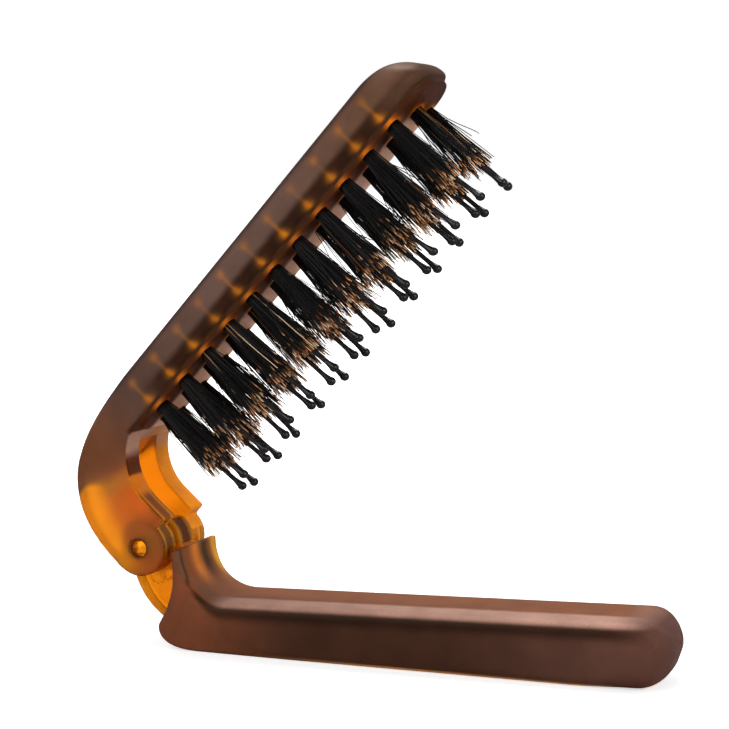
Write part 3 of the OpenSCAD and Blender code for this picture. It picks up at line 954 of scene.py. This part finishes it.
class HairbrushShells(bpy.types.PropertyGroup):
    """Detail and finish of the two mouldings"""
    grid_step: FloatProperty(
        name="Shell detail", description="Size of the shells' faces, in millimetres",
        default=0.355, min=0.2, max=1.0)
    amber_tint: FloatVectorProperty(
        name="Surface tint", description="Tint of light at each surface of the amber",
        subtype="COLOR", size=3, min=0.0, max=1.0, default=(1.0, 0.88, 0.42))
    absorbed_colour: FloatVectorProperty(
        name="Depth colour", description="Colour that light keeps inside the amber",
        subtype="COLOR", size=3, min=0.0, max=1.0, default=(0.985, 0.70, 0.0))
    absorption: FloatProperty(
        name="Absorption", description="How fast the amber darkens with depth, per metre",
        default=660.0, min=0.0)
    frosted_roughness: FloatProperty(
        name="Frosted roughness", description="Roughness of the outer faces",
        subtype="FACTOR", default=0.48, min=0.0, max=1.0)
    polished_roughness: FloatProperty(
        name="Polished roughness", description="Roughness of the faces inside the hinge",
        subtype="FACTOR", default=0.08, min=0.0, max=1.0)


class HairbrushTufts(bpy.types.PropertyGroup):
    """The boar hairs"""
    hairs: IntProperty(
        name="Hairs", description="Boar hairs in each tuft", default=104, min=8, max=200)
    bristle_height: FloatProperty(
        name="Bristle height",
        description="Height of the boar hairs above the face, in millimetres",
        default=16.9, min=10.0, max=20.0)
    seed: IntProperty(name="Seed", description="Start of the random hairs", default=7)


class HairbrushStage(bpy.types.PropertyGroup):
    """Where the camera stands"""
    lens: FloatProperty(
        name="Lens", description="Focal length in millimetres", default=98.96, min=20.0)
    camera_distance: FloatProperty(
        name="Distance", description="From the camera to what it looks at, in metres",
        default=0.3933, min=0.1, unit="LENGTH")
    azimuth: FloatProperty(
        name="Azimuth", description="Of the camera, from straight ahead",
        default=math.radians(20.53), subtype="ANGLE")
    elevation: FloatProperty(
        name="Elevation", description="Of the camera above level",
        default=math.radians(5.79), subtype="ANGLE")
    aim_x: FloatProperty(
        name="Aim along", description="From the hinge to the point aimed at, in metres",
        default=0.04497, unit="LENGTH")
    aim_z: FloatProperty(
        name="Aim height", description="Height of the point aimed at, in metres",
        default=0.05812, unit="LENGTH")


# ---- mouldings ----


def moulding(name, matrix, block, step, field_on, polish_of, clear_of, tone_of):
    """A moulding in amber polymer, with what its finish reads stored at its points."""
    grid = Grid(*block, step)
    field = field_on(grid)
    points, faces = skin(grid, field)
    points = settle(grid, field, points)
    shell = make_object(name, points, faces, matrix)
    add_layer(shell, "polish", polish_of(points))
    add_layer(shell, "clear", clear_of(points))
    add_colours(shell, "tone", tone_of(points))
    dress(shell, bpy.data.materials["Amber Polymer"])
    return shell


class OBJECT_OT_hairbrush_head(bpy.types.Operator):
    """Makes the head's moulding, with arms, ears, slot and tuft holes"""
    bl_idname = "object.hairbrush_head"
    bl_label = "Head Shell"

    def execute(self, context):
        step = context.scene.hairbrush_shells.grid_step
        tufts = [place for row in ROWS for place in tuft_places(row)]
        shell = moulding("head_shell", HEAD_FRAME, HEAD_BLOCK, step,
                         lambda grid: head_field(grid, tufts), head_polish, head_clear,
                         lambda points: head_tone(points, tufts))
        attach(shell, "head")
        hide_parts("head_body")
        return {"FINISHED"}


class OBJECT_OT_hairbrush_handle(bpy.types.Operator):
    """Makes the handle's moulding, with neck, tongue, barrel and mirror recess"""
    bl_idname = "object.hairbrush_handle"
    bl_label = "Handle Shell"

    def execute(self, context):
        step = context.scene.hairbrush_shells.grid_step
        shell = moulding("handle_shell", HANDLE_FRAME, HANDLE_BLOCK, step,
                         handle_field, handle_polish, handle_clear, handle_tone)
        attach(shell, "handle")
        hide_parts("handle_body")
        return {"FINISHED"}


class OBJECT_OT_hairbrush_finishes(bpy.types.Operator):
    """Makes the finishes and gives them to the pin, mirror, pad and anchors"""
    bl_idname = "object.hairbrush_finishes"
    bl_label = "Finishes"

    def execute(self, context):
        amber_material(context.scene.hairbrush_shells)
        bristle_material()
        grained_material("Black Nylon")
        dress(frame["nodes"]["hinge_pin"], amber_pin_material())
        for node, finish in CAD_FINISHES.items():
            dress(frame["nodes"][node], grained_material(finish))
        return {"FINISHED"}


# ---- tufts ----

# Where the rings of a hair lie, as parts of its length, closer towards its tip.
HAIR_STEPS = (0.0, 0.22, 0.44, 0.66, 0.84, 0.92, 0.96, 1.0)
HAIR_SIDES = 4
HAIR_ROOT = np.array((0.007, 0.006, 0.006))
PALE_HAIR = np.array((0.4, 0.22, 0.09))

# Colours that the tip of a hair can have, each with its share added to those before. The pale
# tips are the hairs' own lighter ends, brightened further with a painted glow of light through
# them.
HAIR_TIPS_AND_GLOW = ((0.38, (0.010, 0.009, 0.009)), (0.55, (0.34, 0.11, 0.035)),
             (0.80, (0.98, 0.42, 0.15)), (1.00, (1.0, 0.72, 0.46)))


def bands(rings, sides):
    """Faces between rings of points from the top down. A ring can be a single point."""
    faces = []
    for high, low in zip(rings, rings[1:]):
        for i in range(sides):
            j = (i + 1) % sides
            if len(high) == 1:
                faces.append((low[i], low[j], high[0]))
            elif len(low) == 1:
                faces.append((low[0], high[j], high[i]))
            else:
                faces.append((low[i], low[j], high[j], high[i]))
    return faces


def hair_tube(path, radii):
    """Points and faces of one tapered hair along a path."""
    along = np.gradient(path, axis=0)
    along /= np.linalg.norm(along, axis=1)[:, None]
    across = np.cross(along, (0.3, 1.0, 0.1))
    across /= np.linalg.norm(across, axis=1)[:, None]
    third = np.cross(along, across)
    lines = []
    for i in range(HAIR_SIDES):
        a = 2 * math.pi * i / HAIR_SIDES
        lines.append(path + radii[:, None] * (math.cos(a) * across + math.sin(a) * third))
    rings = [range(k, k + HAIR_SIDES) for k in range(0, len(path) * HAIR_SIDES, HAIR_SIDES)]
    ends = [tuple(reversed(rings[0])), tuple(rings[-1])]
    return np.stack(lines, axis=1).reshape(-1, 3), bands(rings[::-1], HAIR_SIDES) + ends


def hair_colours(pick):
    """Colours along one hair, from its root to its tip."""
    root = HAIR_ROOT * pick.choice((0.6, 1.0, 1.6, 4.0))
    draw = pick.random()
    tip = np.array(next(colour for share, colour in HAIR_TIPS_AND_GLOW if draw <= share))
    start = pick.uniform(0.9, 0.95)
    if pick.random() < 0.02:
        root, start = PALE_HAIR, 0.3
    change = ramp(np.array(HAIR_STEPS), start, start + 0.04)[:, None]
    return root * (1 - change) + tip * change


def tuft_hairs(pick, x0, y0, settings):
    """Path, radii and colours of each hair in one tuft, spreading to uneven tips."""
    t = np.array(HAIR_STEPS)[:, None]
    golden_angle = math.pi * (3 - math.sqrt(5))
    foot, side = 1.5, HALF_WIDTH - 0.2
    lean = np.array((pick.gauss(0, 0.3), pick.gauss(0, 0.3)))
    for n in range(settings.hairs):
        radius = 1.3 * math.sqrt((n + 0.5) / settings.hairs)
        angle = n * golden_angle + pick.uniform(-0.2, 0.2)
        root = np.array((radius * math.cos(angle), radius * math.sin(angle)))
        spread = pick.gauss(1.05, 0.3)
        drift = np.array((pick.gauss(0, 0.32), pick.gauss(0, 0.32)))
        curl = np.array((pick.gauss(0, 0.2), pick.gauss(0, 0.2)))
        length = settings.bristle_height - abs(pick.gauss(0, 1.9)) - 0.2 * radius
        if pick.random() < 0.09:
            spread, length = pick.uniform(1.5, 2.7), length - pick.uniform(0.0, 6.0)
            curl = curl * 3.0
        flat = root * (1 + spread * t ** 1.1) + (lean + drift) * t ** 1.6
        flat = flat + curl * np.sin(t * 5) * t + np.array((x0, y0))
        flat[:, 1] = np.clip(flat[:, 1], -side, side)
        z = FACE_Z + foot - t * (length + foot)
        radii = pick.uniform(0.075, 0.115) * (1 - 0.12 * t[:, 0] ** 3)
        yield np.concatenate([flat, z], axis=1), radii, hair_colours(pick)


class OBJECT_OT_hairbrush_bristles(bpy.types.Operator):
    """Makes the boar tufts hair by hair, one piece for each row"""
    bl_idname = "object.hairbrush_bristles"
    bl_label = "Boar Tufts"

    def execute(self, context):
        settings = context.scene.hairbrush_tufts
        for row in ROWS:
            number = row[-2:]
            pick = random.Random(settings.seed * 100 + int(number))
            hairs, colours = [], []
            for x, y in tuft_places(row):
                for path, radii, shades in tuft_hairs(pick, x, y, settings):
                    hairs.append(hair_tube(path, radii))
                    colours.append(np.repeat(shades, HAIR_SIDES, axis=0))
            piece = make_object("boar_tufts_" + number, *gather(hairs), HEAD_FRAME)
            add_colours(piece, "hair_colour", np.concatenate(colours))
            dress(piece, bpy.data.materials["Boar Bristle"])
            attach(piece, "head")
            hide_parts("bristle_row_" + number)
        return {"FINISHED"}


def lathe(profile, sides):
    """Points and faces of a turned form about Z, from (radius, z) pairs going down."""
    verts, rings = [], []
    for radius, z in profile:
        count = sides if radius else 1
        rings.append(range(len(verts), len(verts) + count))
        for i in range(count):
            a = 2 * math.pi * i / sides
            verts.append((radius * math.cos(a), radius * math.sin(a), z))
    return np.array(verts), bands(rings, sides)


def ball_pin_profile(height):
    """A pin from its foot in the hole to its drop-shaped tip, drawn downwards."""
    ball_r = 0.92
    ball_z = FACE_Z - height + ball_r
    shaft = [(0.0, 5.2), (0.5, 5.2), (0.5, 0.0), (0.49, -5.0), (0.48, -10.0), (0.47, -15.0)]
    profile = [(r, FACE_Z + z) for r, z in shaft]
    profile += [(0.47, ball_z + 2.9), (0.49, ball_z + 2.1), (0.56, ball_z + 1.5)]
    for angle in np.linspace(52.0, 180.0, 11)[:-1]:
        a = math.radians(angle)
        profile.append((ball_r * math.sin(a), ball_z + ball_r * math.cos(a)))
    return profile + [(0.0, ball_z - ball_r)]


class OBJECT_OT_hairbrush_ball_pins(bpy.types.Operator):
    """Makes the nylon pins with their ball tips, one piece for each row"""
    bl_idname = "object.hairbrush_ball_pins"
    bl_label = "Ball Pins"

    def execute(self, context):
        for row in ROWS:
            number = row[-2:]
            pick = random.Random(int(number) + 40)
            height = FACE_Z - in_head(row)[:, 2].min()
            straight, faces = lathe(ball_pin_profile(height - 0.05), 16)
            depth = np.clip((FACE_Z - straight[:, 2]) / height, 0.0, 1.0)[:, None] ** 1.7
            pins = []
            for x, y in tuft_places(row):
                lean = 1.9 if y < 0.0 else 1.0
                bend = np.array((pick.gauss(lean, 0.45), pick.gauss(0.0, 0.35), 0.0))
                pins.append((straight + depth * bend + np.array((x, y, 0.0)), faces))
            piece = make_object("ball_pins_" + number, *gather(pins), HEAD_FRAME)
            dress(piece, bpy.data.materials["Black Nylon"])
            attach(piece, "head")
            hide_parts(row)
        return {"FINISHED"}


# ---- stage ----

# Each lamp's name, place, size and power.
LAMPS = (("key_lamp", (-0.5, -0.9, 0.8), 0.9, 5.0),
         ("fill_lamp", (0.9, -0.6, 0.45), 0.8, 5.0),
         ("top_lamp", (-0.1, 0.25, 0.9), 0.45, 6.0))
LAMPS_AIM = Vector((0.0, 0.0, 0.05))
FLOOR_HALF = 6.0
SENSOR_WIDTH = 36.0


def ray(tree, kind):
    """1 for rays of one kind, and 0 for others."""
    return tree.add("ShaderNodeLightPath", "Is " + kind + " Ray")


def mirrored_ray(tree):
    """1 for rays that a surface mirrors, and 0 for those that pass through or look."""
    return tree.maths("SUBTRACT", ray(tree, "Glossy"), ray(tree, "Transmission"), clamp=True)


def world_light(world):
    """White to the camera, and to the rest a studio: bright low down, dim overhead."""
    tree = Tree(world)
    way = tree.add("ShaderNodeTexCoord", "Generated")
    low = tree.stretch(tree.axis(way, "Z"), (0.45, 0.8), (1.0, 0.15))
    behind = tree.stretch(tree.axis(way, "Y"), (-0.3, 0.5), (0.5, 2.0))
    dimmed = tree.stretch(mirrored_ray(tree), (0.0, 1.0), (1.0, 0.1))
    level = tree.maths("MULTIPLY", tree.maths("MULTIPLY", low, behind), dimmed)
    strength = tree.add("ShaderNodeMix", "Result", {
        "Factor": ray(tree, "Camera"), "A": level, "B": 1.0})
    tree.feed(tree.nodes["Background"], {"Color": (1.0, 1.0, 1.0, 1.0), "Strength": strength})


def floor_material():
    """Pale floor that shows white to the camera and keeps the shadow."""
    material, tree, shader = new_material("Studio Floor")
    place = tree.add("ShaderNodeTexCoord", "Object")
    reach = tree.add("ShaderNodeVectorMath", "Value", {0: place}, operation="LENGTH")
    glow = tree.stretch(reach, (0.08, 0.4), (0.55, 1.0))
    tree.feed(shader, {
        "Base Color": tree.colours(mirrored_ray(tree), (0.0, 1.0), (grey(0.8), grey(0.12))),
        "Roughness": 0.9, "Emission Color": (1.0, 1.0, 1.0, 1.0),
        "Emission Strength": tree.maths("MULTIPLY", ray(tree, "Camera"), glow)})
    return material


def add_lamp(scene, name, place, size, power):
    """Adds a square lamp that shines at the middle of the brush."""
    data = bpy.data.lights.new(name, "AREA")
    data.shape = "SQUARE"
    data.size = size
    data.energy = power
    lamp = bpy.data.objects.new(name, data)
    lamp.location = place
    lamp.rotation_euler = (LAMPS_AIM - Vector(place)).to_track_quat("-Z", "Y").to_euler()
    scene.collection.objects.link(lamp)


def add_floor(scene):
    """Adds the floor under the brush."""
    far = FLOOR_HALF
    corners = [(-far, -far, 0), (far, -far, 0), (far, far, 0), (-far, far, 0)]
    mesh = bpy.data.meshes.new("studio_floor")
    mesh.from_pydata(corners, [], [(0, 1, 2, 3)])
    floor = bpy.data.objects.new("studio_floor", mesh)
    scene.collection.objects.link(floor)
    dress(floor, floor_material())


def add_camera(scene, settings):
    """Adds the camera, aimed at a point above the handle."""
    aim = Vector((PIVOT.x + settings.aim_x, 0.0, settings.aim_z))
    level = math.cos(settings.elevation)
    away = Vector((math.sin(settings.azimuth) * level, -math.cos(settings.azimuth) * level,
                   math.sin(settings.elevation)))
    data = bpy.data.cameras.new("camera")
    data.lens = settings.lens
    data.sensor_width = SENSOR_WIDTH
    data.clip_start = 0.01
    camera = bpy.data.objects.new("camera", data)
    camera.location = aim + away * settings.camera_distance
    camera.rotation_euler = (-away).to_track_quat("-Z", "Y").to_euler()
    scene.collection.objects.link(camera)
    scene.camera = camera


class OBJECT_OT_hairbrush_stage(bpy.types.Operator):
    """Makes the floor, the light and the camera"""
    bl_idname = "object.hairbrush_stage"
    bl_label = "Stage"

    def execute(self, context):
        scene = context.scene
        scene.view_settings.view_transform = "Standard"
        scene.world = scene.world or bpy.data.worlds.new("Studio")
        world_light(scene.world)
        add_floor(scene)
        for lamp in LAMPS:
            add_lamp(scene, *lamp)
        add_camera(scene, scene.hairbrush_stage)
        return {"FINISHED"}


# ---- panel and start ----


class VIEW3D_PT_hairbrush(bpy.types.Panel):
    """Sizes, finishes and pieces of the hairbrush"""
    bl_idname = "VIEW3D_PT_hairbrush"
    bl_label = "Folding Hairbrush"
    bl_space_type = "VIEW_3D"
    bl_region_type = "UI"
    bl_category = "Hairbrush"

    def draw(self, context):
        layout = self.layout
        for group in (context.scene.hairbrush_shells, context.scene.hairbrush_tufts,
                      context.scene.hairbrush_stage):
            box = layout.box()
            for name in group.bl_rna.properties.keys():
                if name not in ("name", "rna_type"):
                    box.prop(group, name)
        for operator in OPERATORS:
            layout.operator(operator.bl_idname)


OPERATORS = (
    OBJECT_OT_hairbrush_finishes,
    OBJECT_OT_hairbrush_head,
    OBJECT_OT_hairbrush_handle,
    OBJECT_OT_hairbrush_bristles,
    OBJECT_OT_hairbrush_ball_pins,
    OBJECT_OT_hairbrush_stage,
)
CLASSES = (HairbrushShells, HairbrushTufts, HairbrushStage) + OPERATORS + (VIEW3D_PT_hairbrush,)


def register():
    """Adds the classes and the settings."""
    for cls in CLASSES:
        bpy.utils.register_class(cls)
    bpy.types.Scene.hairbrush_shells = PointerProperty(type=HairbrushShells)
    bpy.types.Scene.hairbrush_tufts = PointerProperty(type=HairbrushTufts)
    bpy.types.Scene.hairbrush_stage = PointerProperty(type=HairbrushStage)


def unregister():
    """Takes the settings and the classes out again."""
    del bpy.types.Scene.hairbrush_stage
    del bpy.types.Scene.hairbrush_tufts
    del bpy.types.Scene.hairbrush_shells
    for cls in reversed(CLASSES):
        bpy.utils.unregister_class(cls)


def main():
    """Builds the brush."""
    register()
    bpy.ops.object.hairbrush_finishes()
    bpy.ops.object.hairbrush_head()
    bpy.ops.object.hairbrush_handle()
    bpy.ops.object.hairbrush_bristles()
    bpy.ops.object.hairbrush_ball_pins()
    bpy.ops.object.hairbrush_stage()


if __name__ == "__main__":
    main()
